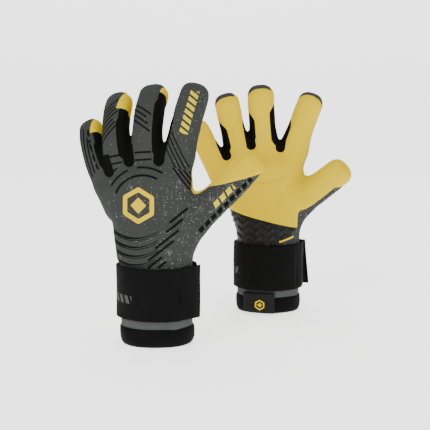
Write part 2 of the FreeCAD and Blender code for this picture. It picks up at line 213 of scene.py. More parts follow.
class Glove:
    """The whole skin of one glove as a distance field, and the fields that cut it into panels."""

    def __init__(self, side):
        self.side = side
        self.fingers = [Finger(side, name) for name in NAMES]
        self.crotches = [self.crotch(i) for i in range(3)]

    def crotch(self, i):
        """Middle, sideways and upward directions of the dark U between fingers i and i+1, in the x-z plane."""
        up = self.fingers[i].axes[:, 2] + self.fingers[i + 1].axes[:, 2]
        up = np.array([up[0], 0, up[2]]) / math.hypot(up[0], up[2])
        x, z = GAP_FEET[self.side][i]
        return np.array([x, 0, z]) + up * GAP_HALF, np.array([up[2], 0, -up[0]]), up

    def parts(self, points):
        return [f.distance(points) for f in self.fingers] + [hand_distance(self.side, points)]

    def distance(self, points):
        parts = self.parts(points)
        fingers = parts[0]
        for d in parts[1:4]:
            fingers = union(fingers, d, 3.0)
        body = union(parts[5], fingers, 9.0)
        skin = union(body, parts[4], 13.0)
        return skin + self.relief(points)

    def relief(self, points):
        """Soft hollows: the palm's creases and the thumb's crease, in mm."""
        x, y, z = points.T
        palm = smooth(4, 12, y)
        fold = 0.0
        for cx, cz, r, low, high in ((58, 118, 52, 1.75, 3.0), (-10, 214, 52, 3.9, 5.5)):
            gap = np.hypot(x - cx, z - cz) - r
            angle = np.mod(np.arctan2(z - cz, x - cx), 2 * math.pi)
            span = smooth(low, low + 0.3, angle) * (1 - smooth(high - 0.3, high, angle))
            fold = fold + 1.1 * np.exp(-(gap / 3.2) ** 2) * span
        wave = 0.35 * np.sin(x / 9.0 + 1.3) * np.sin(z / 11.0 + 0.4) + 0.2 * np.sin(x / 4.3 + z / 5.1)
        return fold * palm + 0.5 * wave

    def gradient(self, points, eps=0.25):
        steps = np.eye(3) * eps
        return np.stack([self.distance(points + step) - self.distance(points - step) for step in steps], 1) / (2 * eps)

    # -- panel fields: positive inside the panel, in mm
    def latex_field(self, points):
        """Positive where the palm's latex covers the glove, on the palm and round the fingertips."""
        weights, fields = [], []
        for f, d in zip(self.fingers, self.parts(points)):
            x, v, s = f.coords(points)
            weights.append(np.exp(-d / 3.0) * smooth(-24, -4, s))
            fields.append(self.thumb_latex(f, x, v, s) if f.name == "thumb" else self.finger_latex(f, x, v, s))
        x, y, a, _ = hand_local(self.side, points)
        wrap = np.where(points[:, 2] < 140, a - 4.5 - x, 60.0)
        side_edge = y - 1.8 * (1 - smooth(-10, 0, x)) + 0.5
        fields.append(np.minimum(np.minimum(side_edge, wrap), points[:, 2] - self.latex_foot(points)))
        weights.append(np.exp(-hand_distance(self.side, points) / 3.0) + 1e-6)
        return sum(w * f for w, f in zip(weights, fields)) / sum(weights)

    def finger_latex(self, f, x, v, s):
        edge = 0.2 + 3.0 * smooth(f.end + 2, f.top - 3, s)
        if f.name == "index":
            edge = edge + 3.6 * smooth(0, 6, x) * (1 - 0.7 * smooth(f.top - 16, f.top, s))
            return v - edge
        wide, start = TIP_WRAPS[f.name]
        over = x - f.shift - (f.a - wide * (1 - 0.55 * smooth(f.top - start, f.top, s)))
        over = np.minimum(over, np.minimum(s - (f.top - start), f.top - 1.0 - s))
        return np.maximum(v - edge, over)

    def thumb_latex(self, f, x, v, s):
        reach = {"left": 52.7, "right": 46.0}[self.side]
        line = -27.5 + (s + 11.2) * (43.7 / (reach + 11.2))
        back = line - x
        front = np.where(s < reach - 6, f.a - 5.0 - x, f.a + (s - reach) * 0.8 - x)
        return np.where(v < 0, np.maximum(back, v), np.maximum(front, back))

    def gusset_field(self, points):
        """Positive on the dark strips between the fingers and in the U at each gap."""
        out = np.full(len(points), FAR_OUTSIDE)
        parts = self.parts(points)
        for i, (middle, across, up) in enumerate(self.crotches):
            rel = points - middle
            u, h = rel @ across, rel @ up
            pill = GAP_HALF - np.hypot(u, np.minimum(h, 0))
            out = np.maximum(out, np.minimum(pill, 18 - h))
            for f, sign in ((self.fingers[i], 1), (self.fingers[i + 1], -1)):
                x, v, s = f.coords(points)
                back, palm, end = STRIPS[f.name, sign]
                point = 1 - smooth(f.top - end - 16, f.top - end, s)
                point = np.where(v < 0, np.maximum(point, 0.75 if sign > 0 else 0.0), point)
                wide = back + (palm - back) * smooth(-4, 4, v)
                strip = (x - f.shift) * sign - (f.a - wide * point + 0.6 * (1 - point))
                strip = np.minimum(np.minimum(strip - 7.0 * (1 - smooth(-3, 9, h)), h + 3.0), f.top - end - s)
                j = self.fingers.index(f)
                other = np.minimum.reduce([d for k, d in enumerate(parts[:4]) if k != j])
                out = np.maximum(out, np.where(parts[j] < other, strip, FAR_OUTSIDE))
        return out

    def latex_foot(self, points):
        """Height of the palm latex's lower edge."""
        return 126 - 21 * np.clip((points[:, 0] + 46) / 79, 0, 1.3) ** 0.85

    def heel_field(self, points):
        """Positive on the embossed patch below the palm's latex."""
        y = hand_local(self.side, points)[1]
        right = 10.7 + 22.3 * smooth(87, 101, points[:, 2])
        edges = np.minimum(self.latex_foot(points) - points[:, 2], right - points[:, 0])
        return np.minimum(edges, y + 0.5)

    def finger_field(self, i, points):
        """Positive on the part of the skin that belongs to finger i."""
        f = self.fingers[i]
        parts = self.parts(points)
        s = f.coords(points)[2]
        others = [d for j, d in enumerate(parts[:5]) if j != i]
        cut = THUMB_CUT_AT if f.name == "thumb" else CUT_AT
        if f.name == "thumb":
            others.append(parts[5] + 4.0)
        return np.minimum(s - cut, np.minimum.reduce(others) - parts[i])


# ---- mesh code ----
def edges_of(tris):
    return np.concatenate([tris[:, [0, 1]], tris[:, [1, 2]], tris[:, [2, 0]]])


def halves(quads):
    return np.concatenate([quads[:, [0, 1, 2]], quads[:, [0, 2, 3]]])


def surface_nets(field, low, high, step):
    """Quads round the field's zero surface, one vertex in each grid cell that the surface crosses."""
    axes = [np.arange(a, b + step, step) for a, b in zip(low, high)]
    grid = np.stack(np.meshgrid(*axes, indexing="ij"), -1)
    d = field(grid.reshape(-1, 3)).reshape(grid.shape[:3])
    cells = tuple(n - 1 for n in d.shape)
    total, count = np.zeros(cells + (3,)), np.zeros(cells, int)
    edges = []
    for k in range(3):
        starts = np.arange(cells[k])
        da, db = d.take(starts, k), d.take(starts + 1, k)
        cross = (da < 0) != (db < 0)
        t = np.where(cross, da / np.where(cross, da - db, 1), 0)
        where = grid.take(starts, k)
        where[..., k] += t * step
        edges.append((cross, da < 0))
        for shift in np.ndindex(*(1 if n == k else 2 for n in range(3))):
            pick = tuple(slice(p, p + n) for p, n in zip(shift, cells))
            total += where[pick] * cross[pick][..., None]
            count += cross[pick]
    active = count > 0
    index = np.full(cells, -1)
    index[active] = np.arange(active.sum())
    verts = total[active] / count[active][:, None]
    quads = []
    for k, (cross, start_inside) in enumerate(edges):
        where = np.argwhere(cross)
        others = [n for n in range(3) if n != k]
        beside = where[:, others]
        fits = ((beside > 0) & (beside < np.array(cells)[others])).all(1)
        where = where[fits]
        corner = []
        for p, q in ((-1, -1), (0, -1), (0, 0), (-1, 0)):
            c = where.copy()
            c[:, others[0]] += p
            c[:, others[1]] += q
            corner.append(index[tuple(c.T)])
        quad = np.stack(corner, 1)
        flip = start_inside[cross][fits] == (k == 1)
        quad[flip] = quad[flip][:, ::-1]
        quads.append(quad)
    return verts, halves(np.concatenate(quads))


def split(verts, tris, f, tags):
    """Cuts triangles along f = 0. Returns the mesh, each triangle's tag and whether f is positive on it."""
    f = np.where(np.abs(f) < SNAP, 0.0, f)
    sign = np.sign(f).astype(int)
    s = sign[tris]
    pairs = edges_of(tris)
    crossing = sign[pairs[:, 0]] * sign[pairs[:, 1]] < 0
    pairs = np.unique(np.sort(pairs[crossing], 1), axis=0)
    fa, fb = f[pairs[:, 0]], f[pairs[:, 1]]
    fresh = verts[pairs[:, 0]] + (verts[pairs[:, 1]] - verts[pairs[:, 0]]) * (fa / (fa - fb))[:, None]
    lookup = {(int(a), int(b)): len(verts) + i for i, (a, b) in enumerate(pairs)}
    verts = np.concatenate([verts, fresh])
    cut = (s.max(1) > 0) & (s.min(1) < 0)
    new_tris, new_tags, new_side = [], [], []
    for tri, sg, tag in zip(tris[cut].tolist(), s[cut].tolist(), tags[cut].tolist()):
        zeros = sg.count(0)
        if zeros == 1:
            k = sg.index(0)
            z, b, c = tri[k], tri[(k + 1) % 3], tri[(k + 2) % 3]
            p = lookup[(min(b, c), max(b, c))]
            new_tris += [(z, b, p), (z, p, c)]
            new_side += [sg[(k + 1) % 3] > 0, sg[(k + 2) % 3] > 0]
            new_tags += [tag, tag]
        else:
            k = [i for i in range(3) if sg[i] != sg[(i + 1) % 3] and sg[i] != sg[(i + 2) % 3]][0]
            a, b, c = tri[k], tri[(k + 1) % 3], tri[(k + 2) % 3]
            p, q = lookup[(min(a, b), max(a, b))], lookup[(min(a, c), max(a, c))]
            new_tris += [(a, p, q), (p, b, c), (p, c, q)]
            new_side += [sg[k] > 0, sg[k] < 0, sg[k] < 0]
            new_tags += [tag] * 3
    done = tris[~cut], tags[~cut], s[~cut].sum(1) > 0
    if new_tris:
        done = [np.concatenate(both) for both in zip(done, (new_tris, new_tags, new_side))]
    return (verts, *done)


def compact(tris):
    """The vertices that the triangles use, and the triangles in their numbers."""
    used, inverse = np.unique(tris, return_inverse=True)
    return used, inverse.reshape(tris.shape)


def thicken(outer, inner, tris):
    """A closed shell between two matching skins."""
    n = len(outer)
    edges = edges_of(tris)
    key = edges[:, 0].astype(np.int64) * n + edges[:, 1]
    back = edges[:, 1].astype(np.int64) * n + edges[:, 0]
    rim = edges[~np.isin(key, back)]
    rim_tris = halves(np.stack([rim[:, 1], rim[:, 0], rim[:, 0] + n, rim[:, 1] + n], 1))
    return np.concatenate([outer, inner]), np.concatenate([tris, tris[:, ::-1] + n, rim_tris])


PLACE = {}
for side in ("left", "right"):
    low, high = (np.array(c, float) * 1000 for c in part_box(f"{side}_cuff_hem"))
    PLACE[side] = np.array([(low[0] + high[0]) / 2, (low[1] + high[1]) / 2, 0.0])


def to_world(side, points):
    points = np.atleast_2d(np.asarray(points, float))
    flip = np.array([1, -1 if side == "right" else 1, 1])
    return (points * flip + PLACE[side]) / 1000


def make_piece(name, side, verts, faces, body, material, replaces=(), attributes=None, sharp=45, bend=None):
    """A mesh object from hand-frame millimetres, riding on its body, or left unparented where it stands when a bend is
    given.
    """
    mesh = bpy.data.meshes.new(name)
    faces = [tuple(int(i) for i in f) for f in faces]
    if side == "right":
        faces = [f[::-1] for f in faces]
    mesh.from_pydata([tuple(v) for v in to_world(side, verts)], [], faces)
    mesh.validate()
    mesh.update()
    for key, values in (attributes or {}).items():
        layer = mesh.attributes.new(key, "FLOAT_VECTOR", "POINT")
        layer.data.foreach_set("vector", np.asarray(values, np.float32).ravel())
    mesh.polygons.foreach_set("use_smooth", [True] * len(mesh.polygons))
    mesh.set_sharp_from_angle(angle=math.radians(sharp))
    obj = bpy.data.objects.new(name, mesh)
    bpy.context.scene.collection.objects.link(obj)
    mesh.materials.append(material)
    if bend:
        moving, start, end = bend
        start, end = (tuple(to_world(side, p)[0]) for p in (start, end))
        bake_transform(obj)
    else:
        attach(obj, f"{side}_{body}")
    if replaces:
        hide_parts(*[f"{side}_{node}" for node in replaces])
    return obj


# ---- materials ----
class Shader:
    """A principled material with short names for the nodes used here."""

    def __init__(self, name, color, roughness, specular=0.3):
        self.material = bpy.data.materials.new(name)
        self.material.use_nodes = True
        self.tree = self.material.node_tree
        self.shader = self.tree.nodes["Principled BSDF"]
        self.shader.inputs["Roughness"].default_value = roughness
        self.shader.inputs["Specular IOR Level"].default_value = specular
        self.shader.inputs["Base Color"].default_value = (*color, 1)
        self.color = (*color, 1)
        self.place = {}

    def node(self, kind, inputs=(), **settings):
        node = self.tree.nodes.new(kind)
        for key, value in settings.items():
            setattr(node, key, value)
        for key, value in dict(inputs).items():
            if isinstance(value, bpy.types.NodeSocket):
                self.tree.links.new(value, node.inputs[key])
            else:
                node.inputs[key].default_value = value
        return node

    def attribute(self, name):
        """The three numbers of a vertex attribute, in mm."""
        if name not in self.place:
            found = self.node("ShaderNodeAttribute", attribute_name=name)
            split_up = self.node("ShaderNodeSeparateXYZ", {0: found.outputs["Vector"]})
            self.place[name] = (found.outputs["Vector"], *split_up.outputs)
        return self.place[name]

    def math(self, operation, a, b=0.0, c=0.0):
        return self.node("ShaderNodeMath", {0: a, 1: b, 2: c}, operation=operation).outputs[0]

    def add(self, a, b):
        return self.math("ADD", a, b)

    def mul(self, a, b):
        return self.math("MULTIPLY", a, b)

    def any_of(self, masks):
        total = masks[0]
        for mask in masks[1:]:
            total = self.math("MAXIMUM", total, mask)
        return total

    def near(self, value, middle, half):
        return self.math("COMPARE", value, middle, half)

    def linear(self, x, y, kx, ky, offset=0.0):
        return self.add(self.math("MULTIPLY_ADD", x, kx, offset), self.mul(y, ky))

    def noise(self, vector, scale, stretch=(1, 1, 1), detail=2.0):
        moved = self.node("ShaderNodeMapping", {"Vector": vector, "Scale": stretch})
        inputs = {"Vector": moved.outputs[0], "Scale": scale, "Detail": detail}
        return self.node("ShaderNodeTexNoise", inputs).outputs[0]

    def dashes(self, along, shift, pitch, length):
        """Dashes of one length at one pitch, as a mask; the shift keeps the run positive."""
        return self.math("LESS_THAN", self.math("MODULO", self.add(along, shift), pitch), length)

    def paint(self, mask, color):
        """Lays a colour over what is painted so far."""
        mix = self.node("ShaderNodeMix", data_type="RGBA")
        self.tree.links.new(mask, mix.inputs["Factor"])
        below, above = (socket for socket in mix.inputs if socket.type == "RGBA")
        above.default_value = (*color, 1)
        if isinstance(self.color, tuple):
            below.default_value = self.color
        else:
            self.tree.links.new(self.color, below)
        self.color = [s for s in mix.outputs if s.type == "RGBA"][0]

    def bump(self, heights):
        """Each height is (socket, strength, distance in metres)."""
        normal = None
        for height, strength, distance in heights:
            inputs = {"Height": height, "Strength": strength, "Distance": distance}
            if normal is not None:
                inputs["Normal"] = normal
            normal = self.node("ShaderNodeBump", inputs).outputs[0]
        self.tree.links.new(normal, self.shader.inputs["Normal"])

    def finish(self):
        if not isinstance(self.color, tuple):
            self.tree.links.new(self.color, self.shader.inputs["Base Color"])
        return self.material


BLACK = (0.0015, 0.0015, 0.0016)
GREY = (0.034, 0.037, 0.034)
YELLOW = (0.60, 0.43, 0.0)
YELLOW_SHADE = (0.52, 0.35, 0.0)
YELLOW_INK = (0.60, 0.46, 0.0)
PALE = (0.16, 0.17, 0.165)


def latex_material():
    s = Shader("yellow_latex", YELLOW, 0.8, specular=0.03)
    place = s.attribute("hand_place")[0]
    tone = s.noise(place, 0.03, detail=3)
    s.paint(s.mul(tone, 0.35), YELLOW_SHADE)
    grain = s.noise(place, 1.6, detail=4)
    fine = s.noise(place, 0.5, detail=2)
    s.bump([(grain, 0.25, 0.0004), (fine, 0.12, 0.001)])
    return s.finish()


def weave(s, place, fine=1.0):
    """Diagonal knit ribs, as a height."""
    x, z, rate = place[1], place[3], 2.6 * fine
    one = s.math("SINE", s.linear(x, z, rate, rate))
    two = s.math("SINE", s.linear(x, z, rate, -rate))
    return s.mul(one, two)


def flecks(s, place, amount):
    """Pale thread dashes along and across, thicker towards the thumb and the wrist."""
    vector, x = place[:2]
    across = s.noise(vector, 1.0, (0.22, 0.3, 1.0), detail=1)
    along = s.noise(vector, 1.0, (0.95, 0.3, 0.2), detail=1)
    cloud = s.noise(vector, 0.045, detail=2)
    lean = s.math("MULTIPLY_ADD", x, 0.0005, amount)
    limit = s.math("SUBTRACT", 0.79, s.add(lean, s.mul(cloud, 0.1)))
    return s.math("MAXIMUM", s.math("GREATER_THAN", across, limit), s.math("GREATER_THAN", along, limit))


def bar(s, along, beside, low, high, middle, half):
    return s.mul(s.near(along, (low + high) / 2, (high - low) / 2), s.near(beside, middle, half))


ARC_MIDDLE = (-12.0, 149.0)
ARCS = ((32, 1.1, 2.75, 1.1), (40, 1.05, 1.75, 1.0), (40, 2.0, 2.62, 1.0), (47.5, 1.95, 2.5, 0.9),
        (54.5, 1.9, 2.35, 0.8))         # radius, first and last angle, half width
SLANT_RISE = math.radians(38)
SLANT_BARS = (((15.4, 133), (34, 147.7)), ((11.4, 123.5), (29.6, 136.4)), ((0, 107.4), (25.6, 124.7)),
              ((-7.3, 94.5), (20.6, 114)), ((-7.3, 86.6), (8, 97.2)), ((3.5, 86.6), (12, 93.2)))


def hand_prints(s):
    """The hand's printed lines: arcs round the badge, slanted bars, sagging pairs and a fan at the thumb."""
    _, x, _, z = s.attribute("hand_place")
    masks = []
    dx, dz = s.add(x, -ARC_MIDDLE[0]), s.add(z, -ARC_MIDDLE[1])
    radius = s.math("SQRT", s.add(s.math("POWER", dx, 2.0), s.math("POWER", dz, 2.0)))
    angle = s.math("ARCTAN2", dz, dx)
    for r, low, high, half in ARCS:
        masks.append(bar(s, angle, radius, low, high, r, half))
    cos, sin = math.cos(SLANT_RISE), math.sin(SLANT_RISE)
    along, beside = s.linear(x, z, cos, sin), s.linear(x, z, -sin, cos)
    for (x0, z0), (x1, z1) in SLANT_BARS:
        low, high = x0 * cos + z0 * sin, x1 * cos + z1 * sin
        middle = ((z0 + z1) * cos - (x0 + x1) * sin) / 2
        masks.append(bar(s, along, beside, low, high, middle, 1.15))
    sag = s.add(z, s.mul(s.math("POWER", s.add(x, 22.7), 2.0), -1 / 88))
    side = s.math("LESS_THAN", x, 3.0)
    for k in range(4):
        level = 116.3 - 9.1 * k
        thick = s.math("MULTIPLY_ADD", x, -0.035, 0.15)
        masks.append(s.mul(side, s.math("COMPARE", sag, level, s.math("MAXIMUM", thick, 0.4))))
        masks.append(s.mul(side, s.near(sag, level - 2.2, 0.4)))
    for k in range(4):
        foot = 26 + 4.6 * k
        fan = s.linear(x, z, 0.80, 0.60, -0.80 * foot - 0.60 * 180)
        run = s.linear(x, z, -0.60, 0.80, 0.60 * foot - 0.80 * 180)
        masks.append(bar(s, run, fan, -17 + 2 * k, 14, 0.0, 0.9))
    return s.any_of(masks)


def thumb_marks(s):
    """Two rows of slanted dashes beside the thumb's lower edge."""
    _, x, _, z = s.attribute("hand_place")
    diagonal, foot_x, foot_z = 0.7071, 38.5, 108
    along = s.linear(x, z, diagonal, diagonal, -diagonal * (foot_x + foot_z))
    beside = s.linear(x, z, -diagonal, diagonal, diagonal * (foot_x - foot_z))
    dash = s.dashes(s.linear(along, beside, 1.0, -0.35), 400.0, 9.0, 6.4)
    dark = s.mul(dash, bar(s, along, beside, 16, 92, 5.0, 2.6))
    bright = s.mul(dash, bar(s, along, beside, 44, 74, 13.0, 2.9))
    return dark, bright


def finger_prints(s, name):
    """One finger's printed lines, and its bright dashes where it has them."""
    _, x, _, along = s.attribute("finger_place")
    grain = s.noise(s.attribute("hand_place")[0], 0.12, detail=1)
    broken = s.math("GREATER_THAN", grain, 0.42)
    masks, bright = [], None
    if name == "little":
        for k, reach in enumerate((62, 55, 44)):
            line = s.linear(x, along, 1.0, -0.10)
            masks.append(bar(s, along, line, 4 + 3 * k, reach, -10.5 + 4.2 * k, 0.9))
        masks.append(s.mul(broken, bar(s, along, x, 12, 52, 4.5, 1.3)))
    if name in ("ring", "middle"):
        slope = 0.72 if name == "ring" else -0.62
        line = s.linear(along, x, 1.0, -slope)
        count, start, pitch = (7, 36, 4.7) if name == "ring" else (4, 38, 5.4)
        for k in range(count):
            masks.append(s.mul(s.near(line, start + k * pitch, 0.95), s.math("LESS_THAN", x, 9.0 - (k % 3) * 2.4)))
        for k in range(2):
            masks.append(bar(s, x, along, -9, 10, 6 + 7.5 * k, 0.9))
    if name == "index":
        line = s.linear(along, x, 1.0, 1.15)
        for k in range(4):
            masks.append(s.mul(s.near(line, 4 + 6.2 * k, 1.0), s.near(along, 11 + 3 * k, 15)))
        dash = s.dashes(s.linear(along, x, 1.0, 0.45), 200.4, 6.4, 3.8)
        bright = s.mul(dash, bar(s, along, x, 36, 80, 2.0, 4.6))
    return s.any_of(masks), bright


def knit_material(name):
    """The grey knitted back with its printed bars; one material for each finger and one for the hand."""
    s = Shader(f"grey_knit_{name}", GREY, 0.8, specular=0.08)
    place = s.attribute("hand_place")
    tone = s.noise(place[0], 0.06, detail=4)
    s.paint(s.mul(tone, 0.55), (0.022, 0.025, 0.023))
    rib = weave(s, place, 0.8 if name == "middle" else 1.0)
    s.paint(s.mul(s.math("GREATER_THAN", rib, 0.45), 0.35), (0.058, 0.062, 0.058))
    s.paint(s.mul(flecks(s, place, 0.03 if name in ("hand", "thumb") else 0.0), 0.75), PALE)
    bright = None
    if name == "hand":
        dark = hand_prints(s)
        low_dark, bright = thumb_marks(s)
        dark = s.math("MAXIMUM", dark, low_dark)
    elif name == "thumb":
        dark, bright = thumb_marks(s)
    else:
        dark, bright = finger_prints(s, name)
    if name in ("hand", "thumb"):
        back = s.math("LESS_THAN", place[2], 12.0)
        dark, bright = s.mul(dark, back), s.mul(bright, back)
    s.paint(dark, BLACK)
    if bright is not None:
        s.paint(bright, YELLOW_INK)
    s.bump([(rib, 0.35, 0.0003), (dark, 0.5, 0.0004)])
    return s.finish()


def plain_cloth(name, color, roughness, scale, depth, specular=0.06):
    """A dark fabric or rubber with a fine grain and a little change of tone."""
    s = Shader(name, color, roughness, specular=specular)
    coords = s.node("ShaderNodeTexCoord").outputs["Object"]
    tone = s.noise(coords, 60.0, detail=3)
    s.paint(s.mul(tone, 0.5), tuple(c * 1.9 + 0.0005 for c in color))
    grain = s.noise(coords, scale, detail=3)
    s.bump([(grain, 0.4, depth)])
    return s.finish()


def ribbed_cloth(name, color, pitch, depth, prints=False):
    """Woven elastic with fine level ribs, and the sewn line near a strap's free end."""
    s = Shader(name, color, 0.8, specular=0.08)
    place = s.attribute("band_place")
    rib = s.math("SINE", s.mul(place[3], 2 * math.pi / pitch))
    knit = s.math("SINE", s.mul(place[1], 2 * math.pi / (pitch * 1.4)))
    tone = s.noise(place[0], 0.08, detail=3)
    s.paint(s.mul(tone, 0.5), tuple(c * 2.0 + 0.0005 for c in color))
    if prints:
        dash = s.dashes(s.linear(place[1], place[3], 1.0, 0.3), 300.0, 7.0, 4.2)
        words = s.mul(dash, bar(s, place[1], place[3], prints[0], prints[1], 52.0, 4.2))
        outside = s.math("GREATER_THAN", place[2], STRAP_STANDOFF + STRAP_THICK / 2)
        s.paint(s.mul(words, outside), (0.06, 0.063, 0.06))
        s.paint(s.near(place[1], SEWN_LINE, 0.4), (0.012,) * 3)
    s.bump([(s.mul(rib, knit), 0.5, depth)])
    return s.finish()


def gloss_badge():
    s = Shader("badge_yellow", (0.60, 0.44, 0.0), 0.5, specular=0.12)
    coords = s.node("ShaderNodeTexCoord").outputs["Object"]
    s.paint(s.mul(s.noise(coords, 300.0, detail=2), 0.25), (0.52, 0.37, 0.0))
    s.bump([(s.noise(coords, 900.0, detail=2), 0.15, 0.0002)])
    return s.finish()


# Key, material name, colour, roughness, grain scale, grain depth and specular.
PLAIN_CLOTHS = (
    ("gusset", "black_gusset", (0.0016, 0.0016, 0.0014), 0.85, 1500.0, 0.0003),
    ("heel", "heel_rubber", (0.003, 0.003, 0.0026), 0.45, 1200.0, 0.0002, 0.2),
    ("lining", "dark_lining", (0.006,) * 3, 0.9, 900.0, 0.0005),
    ("hem", "hem_neoprene", (0.0015,) * 3, 0.7, 1600.0, 0.0002),
    ("tab", "tab_rubber", (0.0022,) * 3, 0.5, 1400.0, 0.0002, 0.15),
    ("hooks", "hook_tape", (0.005,) * 3, 0.5, 2500.0, 0.0008),
    ("loops", "loop_tape", (0.005,) * 3, 0.95, 1800.0, 0.0008),
)


def make_materials():
    made = {f"knit_{name}": knit_material(name) for name in NAMES + ("hand",)}
    made["latex"] = latex_material()
    for key, *settings in PLAIN_CLOTHS:
        made[key] = plain_cloth(*settings)
    for key, name, prints in (("strap", "strap_elastic", (88, 110)), ("strap_back", "strap_elastic_back", (-90, -49))):
        made[key] = ribbed_cloth(name, (0.0018,) * 3, 1.1, 0.0003, prints=prints)
    made["sleeve"] = ribbed_cloth("sleeve_knit", (0.05, 0.054, 0.052), 1.6, 0.0004)
    made["piping"] = ribbed_cloth("yellow_tape", (0.60, 0.45, 0.0), 0.9, 0.0002)
    made["badge"] = gloss_badge()
    return made


# ---- the skin ----
def seam_depth(latex, gusset, heel):
    """How far the skin is pressed in along its seams and inside the strips, in mm."""
    pinch = 0.75 * np.exp(-(latex / 1.5) ** 2)
    strip = 0.7 * smooth(-0.8, 1.6, gusset) + 0.3 * np.exp(-(gusset / 1.2) ** 2)
    patch = 0.5 * np.exp(-(heel / 1.2) ** 2)
    knit = 0.35 * smooth(0.2, 1.5, -latex)
    return np.maximum.reduce([pinch, strip, patch, knit])


def heel_relief(points, heel):
    """Raised zigzag bars on the heel patch, in mm."""
    x, z = points[:, 0], points[:, 2]
    column = 15.0
    across = np.mod(x + 100, column)
    rows = np.mod(z - np.abs(across - column / 2) * 0.9 + 200, 9.0)
    raised = smooth(0, 1.2, rows) * (1 - smooth(4.4, 5.6, rows))
    gap = smooth(0.4, 1.4, across) * smooth(0.4, 1.4, column - across)
    return 1.1 * raised * gap * smooth(2.0, 4.5, heel)


def refine(verts, tris):
    """Each triangle in four."""
    pairs = np.sort(edges_of(tris), 1)
    unique, inverse = np.unique(pairs, axis=0, return_inverse=True)
    middle = (verts[unique[:, 0]] + verts[unique[:, 1]]) / 2
    m = len(verts) + inverse.reshape(3, -1)
    a, b, c = tris.T
    ab, bc, ca = m
    fresh = np.concatenate([np.stack(t, 1) for t in ((a, ab, ca), (ab, b, bc), (ca, bc, c), (ab, bc, ca))])
    return np.concatenate([verts, middle]), fresh


def build_skin(side, mats):
    glove = Glove(side)
    verts, tris = surface_nets(glove.distance, *SKIN_BOX, STEP)
    for _ in range(2):
        grad = glove.gradient(verts)
        size = np.maximum((grad ** 2).sum(1), 0.05)
        verts = verts - (grad * (glove.distance(verts) / size)[:, None]).clip(-1.2, 1.2)
    tags = np.zeros(len(tris), int)
    verts, tris, tags, above = split(verts, tris, verts[:, 2] - SKIN_LOW, tags)
    tris, tags = tris[above], tags[above]
    for i in range(len(NAMES)):
        verts, tris, tags, mine = split(verts, tris, glove.finger_field(i, verts), tags)
        tags = np.where(mine, i + 1, tags)
    verts, tris, tags, strip = split(verts, tris, glove.gusset_field(verts), tags)
    count = len(KINDS)
    code = tags * count + np.where(strip, GUSSET, BACK)
    verts, tris, code, latex = split(verts, tris, glove.latex_field(verts), code)
    code = np.where((code % count == BACK) & latex, code + LATEX, code)
    verts, tris, code, heel = split(verts, tris, glove.heel_field(verts), code)
    code = np.where((code // count == 0) & heel & (code % count != GUSSET), HEEL, code)
    for value in np.unique(code):
        body, kind = divmod(int(value), count)
        build_panel(glove, side, BODIES[body], KINDS[kind], verts, tris[code == value], mats)


def panel_node(body, kind):
    if body == "hand":
        return {"back": "backhand_panel", "latex": "palm_latex", "heel": "palm_heel_patch", "gusset": None}[kind]
    return f"{body}_{kind}"


def build_panel(glove, side, body, kind, verts, tris, mats):
    used, tris = compact(tris)
    points = verts[used]
    if kind == "heel":
        points, tris = refine(points, tris)
    latex, gusset, heel = glove.latex_field(points), glove.gusset_field(points), glove.heel_field(points)
    normal = glove.gradient(points)
    normal = normal / np.maximum(np.linalg.norm(normal, axis=1), 1e-6)[:, None]
    down = seam_depth(latex, gusset, heel)
    up = heel_relief(points, heel) if kind == "heel" else 0.0
    outer = points + normal * (up - down)[:, None]
    inner = points - normal * PANEL_DEPTH
    shell, faces = thicken(outer, inner, tris)
    finger = glove.fingers[NAMES.index(body)] if body in NAMES else None
    twice = np.concatenate([points, points])
    attributes = {"hand_place": twice}
    if finger:
        attributes["finger_place"] = np.stack(finger.coords(twice), 1)
    node = panel_node(body, kind)
    name = f"{side}_{node or 'crotch_gusset'}_sewn"
    key = f"knit_{body}" if kind == "back" else kind
    bend = None
    if finger:
        start = THUMB_CUT_AT if body == "thumb" else CUT_AT
        bend = (body, finger.point(0, 0, start), finger.point(0, 0, start + BEND_LENGTH))
    replaces = [node] if node else []
    piece = make_piece(name, side, shell, faces, "hand", mats[key], replaces, attributes, bend=bend)


# ---- cuff, straps, badge and tab ----
def wrist_point(t, off):
    """A point off the wrist's oval at the angle t from the thumb side, palm side positive."""
    c, s = math.cos(t), math.sin(t)
    nx, ny = WRIST_B * c, WRIST_A * s
    size = math.hypot(nx, ny)
    return np.array([WRIST_A * c + off * nx / size, WRIST_B * s + off * ny / size])


def band(profile, angles, shape=None, closed=False):
    """Sweeps a closed profile of (offset, height) points round the wrist. Returns points, faces and places."""
    rows, places = [], []
    run = 0.0
    last = None
    for t in angles:
        here = wrist_point(t, 0)
        run += 0 if last is None else float(np.linalg.norm(here - last))
        last = here
        row = []
        for k, (off, z) in enumerate(profile):
            d_off, d_z = shape(t, z, k) if shape else (0.0, 0.0)
            xy = wrist_point(t, off + d_off)
            row.append((xy[0], xy[1], z + d_z))
            places.append((run, off, z))
        rows.append(row)
    return (*skin_rows(rows, closed), np.array(places))


def skin_rows(rows, closed=False):
    """Points and faces of a tube through rows of points, joined into a ring or capped at both ends."""
    n, m = len(rows[0]), len(rows)
    points = np.array(rows, float).reshape(-1, 3)
    faces = []
    for i in range(m if closed else m - 1):
        j = (i + 1) % m
        for k in range(n):
            q = (k + 1) % n
            faces.append((i * n + k, j * n + k, j * n + q, i * n + q))
    if not closed:
        faces.append(tuple(range(n))[::-1])
        faces.append(tuple((m - 1) * n + k for k in range(n)))
    return points, [f[::-1] for f in faces]


